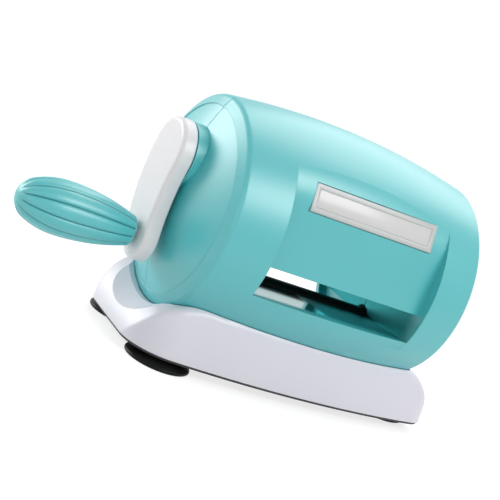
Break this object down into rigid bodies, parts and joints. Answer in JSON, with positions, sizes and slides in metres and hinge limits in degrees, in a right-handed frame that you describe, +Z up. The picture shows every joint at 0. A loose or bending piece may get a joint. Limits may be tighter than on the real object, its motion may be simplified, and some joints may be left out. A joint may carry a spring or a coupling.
{
  "type": "die cutting machine",
  "caption": "Hand-cranked tabletop die cutting machine: a barrel case with a feed slot between two geared rollers, on a cradle base that stands on suction cups.",
  "frame": {"origin": "on the table, below the middle of the machine's length and on the barrel's upright middle plane", "axes": "+X along the barrel from the crank to the plain end, +Y from the feed slot to the exit, +Z up"},
  "size_m": [0.2326, 0.1072, 0.1235],
  "materials": {
    "teal_plastic": "satin",
    "white_plastic": "satin",
    "label_grey": "satin",
    "label_pale": "gloss",
    "black_plastic": "matte",
    "black_rubber": "satin",
    "frame_steel": "brushed",
    "bright_steel": "polished",
    "dark_steel": "satin",
    "bush_brass": "satin"
  },
  "bodies": {
    "body": {"front_shell": "teal_plastic", "rear_shell": "teal_plastic", "crank_collar": "teal_plastic", "label_plate": "label_grey", "label_insert": "label_pale", "shell_screws": "dark_steel", "base": "white_plastic", "base_screws": "dark_steel", "bottom_plate": "black_plastic", "plate_screws": "dark_steel", "front_left_suction_cup": "black_rubber", "rear_left_suction_cup": "black_rubber", "right_suction_cup": "black_rubber", "left_side_frame": "frame_steel", "right_side_frame": "frame_steel", "tie_bars": "bright_steel", "tie_bar_screws": "dark_steel", "left_upper_bush": "bush_brass", "left_lower_bush": "bush_brass", "right_upper_bush": "bush_brass", "right_lower_bush": "bush_brass", "crank_bush": "bush_brass"},
    "crank": {"crank_arm": "white_plastic", "crank_shaft": "bright_steel", "crank_pinion": "dark_steel", "crank_clip": "dark_steel", "grip_spindle": "bright_steel"},
    "grip": {"grip": "teal_plastic"},
    "upper_roller": {"upper_roller_shaft": "bright_steel", "upper_roller_sleeve": "black_rubber", "drive_gear": "dark_steel", "upper_coupling_gear": "dark_steel", "upper_roller_clip": "dark_steel"},
    "lower_roller": {"lower_roller_shaft": "bright_steel", "lower_roller_sleeve": "black_rubber", "lower_coupling_gear": "dark_steel", "lower_roller_clip": "dark_steel"}
  },
  "joints": [
    {"name": "crank_turn", "type": "hinge", "parent": "body", "child": "crank", "pos_m": [-0.054, 0, 0.0877], "axis": [1, 0, 0], "continuous": true},
    {"name": "grip_spin", "type": "hinge", "parent": "crank", "child": "grip", "pos_m": [-0.09, -0.0045, 0.0478], "axis": [1, 0, 0], "continuous": true},
    {"name": "upper_roller_turn", "type": "hinge", "parent": "body", "child": "upper_roller", "pos_m": [0.03, 0, 0.0652], "axis": [1, 0, 0], "continuous": true},
    {"name": "lower_roller_turn", "type": "hinge", "parent": "body", "child": "lower_roller", "pos_m": [0.03, 0, 0.0412], "axis": [1, 0, 0], "continuous": true}
  ],
  "couplings": [
    {"joint": "upper_roller_turn", "follows": "crank_turn", "ratio": -0.5},
    {"joint": "lower_roller_turn", "follows": "crank_turn", "ratio": 0.5}
  ]
}
